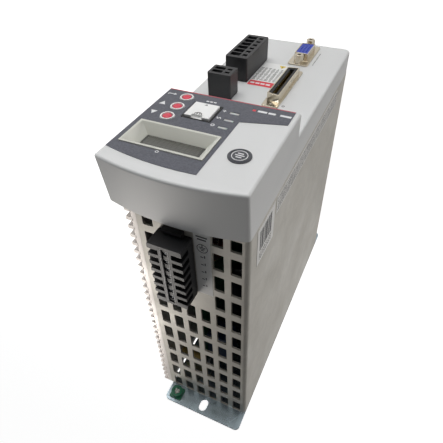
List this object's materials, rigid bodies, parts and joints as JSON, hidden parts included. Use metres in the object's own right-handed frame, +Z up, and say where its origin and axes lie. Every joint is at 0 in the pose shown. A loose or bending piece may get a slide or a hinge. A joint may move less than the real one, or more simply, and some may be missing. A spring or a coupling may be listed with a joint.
{
  "type": "servo drive",
  "caption": "Panel-mounted servo drive: slotted steel chassis, finned heat sink, moulded front with display, buttons, memory module, connectors and pull-out terminal plugs.",
  "frame": {"origin": "midway between the two panel fixing slots, on the back face that meets the cabinet panel", "axes": "+X to the drive's right (heat sink side), -Y out of the front, +Z up along the panel"},
  "size_m": [0.0684, 0.1926, 0.196],
  "materials": {
    "zinc_steel": "satin",
    "sink_aluminium": "satin",
    "zinc_plate": "satin",
    "ground_green": "gloss",
    "cover_plastic": "matte",
    "film": "matte",
    "bezel_plastic": "matte",
    "window": "gloss",
    "button_plastic": "gloss",
    "ring_plastic": "gloss",
    "light_pipe": "gloss",
    "black_plastic": "matte",
    "module_plastic": "gloss",
    "badge_plastic": "matte",
    "nickel_shell": "satin",
    "blue_insert": "matte",
    "screw_steel": "satin",
    "contact_brass": "satin",
    "circuit_board": "gloss",
    "capacitor_sleeve": "gloss",
    "copper_winding": "gloss",
    "relay_blue": "matte",
    "transformer_tape": "gloss",
    "pad_silicone": "matte",
    "label_paper": "matte"
  },
  "bodies": {
    "drive": {"chassis_shell": "zinc_steel", "end_grilles": "zinc_steel", "heat_sink": "sink_aluminium", "mounting_plate": "zinc_plate", "ground_screw": "ground_green", "ground_washer": "ground_green", "front_cover": "cover_plastic", "overlay_film": "film", "display_bezel": "bezel_plastic", "display_window": "window", "display_module": "circuit_board", "button_rings": "ring_plastic", "button_switches": "black_plastic", "status_light_pipes": "light_pipe", "status_lamps": "light_pipe", "memory_socket": "black_plastic", "badge": "badge_plastic", "signal_connector_shell": "nickel_shell", "signal_connector_insert": "black_plastic", "feedback_connector_shell": "nickel_shell", "feedback_connector_insert": "blue_insert", "feedback_jackscrews": "nickel_shell", "mains_header": "black_plastic", "motor_header": "black_plastic", "safety_header": "black_plastic", "backup_header": "black_plastic", "contact_pins": "contact_brass", "control_board": "circuit_board", "panel_board": "circuit_board", "power_board": "circuit_board", "board_links": "black_plastic", "board_spacers": "contact_brass", "board_screws": "screw_steel", "power_module": "black_plastic", "thermal_pad": "pad_silicone", "bus_capacitors": "capacitor_sleeve", "line_choke": "copper_winding", "charge_relay": "relay_blue", "supply_transformer": "transformer_tape", "rectifier": "black_plastic", "processor_chips": "black_plastic", "warning_label": "label_paper", "rating_label": "label_paper", "terminal_label": "label_paper"},
    "enter_button": {"enter_button": "button_plastic"},
    "up_button": {"up_button": "button_plastic"},
    "down_button": {"down_button": "button_plastic"},
    "memory_module": {"memory_module": "module_plastic"},
    "mains_plug": {"mains_plug": "black_plastic", "mains_plug_screws": "screw_steel"},
    "motor_plug": {"motor_plug": "black_plastic", "motor_plug_screws": "screw_steel"},
    "safety_plug": {"safety_plug": "black_plastic", "safety_plug_screws": "screw_steel"},
    "backup_plug": {"backup_plug": "black_plastic", "backup_plug_screws": "screw_steel"}
  },
  "joints": [
    {"name": "enter_press", "type": "slide", "parent": "drive", "child": "enter_button", "axis": [0, 1, 0], "range_m": [0, 0.0008], "stiffness_N_per_m": 250},
    {"name": "up_press", "type": "slide", "parent": "drive", "child": "up_button", "axis": [0, 1, 0], "range_m": [0, 0.0008], "stiffness_N_per_m": 250},
    {"name": "down_press", "type": "slide", "parent": "drive", "child": "down_button", "axis": [0, 1, 0], "range_m": [0, 0.0008], "stiffness_N_per_m": 250},
    {"name": "memory_pull", "type": "slide", "parent": "drive", "child": "memory_module", "axis": [0, -1, 0], "range_m": [0, 0.01]},
    {"name": "mains_pull", "type": "slide", "parent": "drive", "child": "mains_plug", "axis": [0, 0, 1], "range_m": [0, 0.012]},
    {"name": "motor_pull", "type": "slide", "parent": "drive", "child": "motor_plug", "axis": [0, 0, -1], "range_m": [0, 0.012]},
    {"name": "safety_pull", "type": "slide", "parent": "drive", "child": "safety_plug", "axis": [0, -1, 0], "range_m": [0, 0.012]},
    {"name": "backup_pull", "type": "slide", "parent": "drive", "child": "backup_plug", "axis": [0, -1, 0], "range_m": [0, 0.012]}
  ]
}
